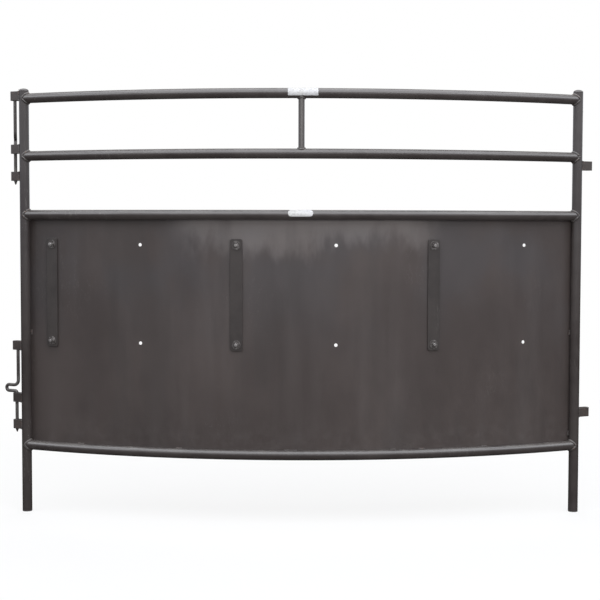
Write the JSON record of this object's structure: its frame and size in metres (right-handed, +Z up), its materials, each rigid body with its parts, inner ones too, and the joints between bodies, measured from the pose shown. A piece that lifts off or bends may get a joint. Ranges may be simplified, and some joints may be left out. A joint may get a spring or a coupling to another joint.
{
  "type": "livestock panel",
  "caption": "Curved half-sheeted livestock panel: bent tube rails between posts, steel sheet over the lower half, bolted straps, end connector loops and lifting drop pins.",
  "frame": {"origin": "on the ground, under the middle of the panel's bounding box", "axes": "+X along the panel's chord towards the end with the single loops, +Y across the bend towards its concave inner side, +Z up; the convex outer side with the straps faces -Y"},
  "size_m": [2.5038, 0.3742, 1.795],
  "materials": {
    "frame_paint": "dark charcoal-brown gloss paint over welded tube",
    "sheet_paint": "dark charcoal-brown semi-gloss paint on rolled sheet",
    "strap_paint": "dark semi-gloss paint on flat bar",
    "loop_paint": "dark paint over cut and welded flat bar, rubbed edges",
    "fasteners": "overpainted steel, worn on the corners",
    "pin_steel": "thinly painted round rod, worn to steel where it slides",
    "label": "blank white label film"
  },
  "bodies": {
    "panel": {"left_post": "frame_paint", "left_post_cap": "frame_paint", "upper_keeper_loop": "loop_paint", "upper_clevis_top_loop": "loop_paint", "upper_clevis_bottom_loop": "loop_paint", "lower_keeper_loop": "loop_paint", "lower_clevis_top_loop": "loop_paint", "lower_clevis_bottom_loop": "loop_paint", "right_post": "frame_paint", "right_post_cap": "frame_paint", "upper_right_loop": "loop_paint", "lower_right_loop": "loop_paint", "top_rail": "frame_paint", "second_rail": "frame_paint", "sheet_rail": "frame_paint", "bottom_rail": "frame_paint", "centre_stay": "frame_paint", "sheet_panel": "sheet_paint", "left_strap": "strap_paint", "left_upper_bolt": "fasteners", "left_upper_washer": "fasteners", "left_upper_nut": "fasteners", "left_lower_bolt": "fasteners", "left_lower_washer": "fasteners", "left_lower_nut": "fasteners", "centre_strap": "strap_paint", "centre_upper_bolt": "fasteners", "centre_upper_washer": "fasteners", "centre_upper_nut": "fasteners", "centre_lower_bolt": "fasteners", "centre_lower_washer": "fasteners", "centre_lower_nut": "fasteners", "right_strap": "strap_paint", "right_upper_bolt": "fasteners", "right_upper_washer": "fasteners", "right_upper_nut": "fasteners", "right_lower_bolt": "fasteners", "right_lower_washer": "fasteners", "right_lower_nut": "fasteners", "top_rail_label": "label", "sheet_rail_label": "label"},
    "upper_pin": {"upper_drop_pin": "pin_steel"},
    "lower_pin": {"lower_drop_pin": "pin_steel"}
  },
  "joints": [
    {"name": "upper_pin_lift", "type": "slide", "parent": "panel", "child": "upper_pin", "axis": [0, 0, 1], "range_m": [0, 0.144]},
    {"name": "lower_pin_lift", "type": "slide", "parent": "panel", "child": "lower_pin", "axis": [0, 0, 1], "range_m": [0, 0.144]}
  ]
}
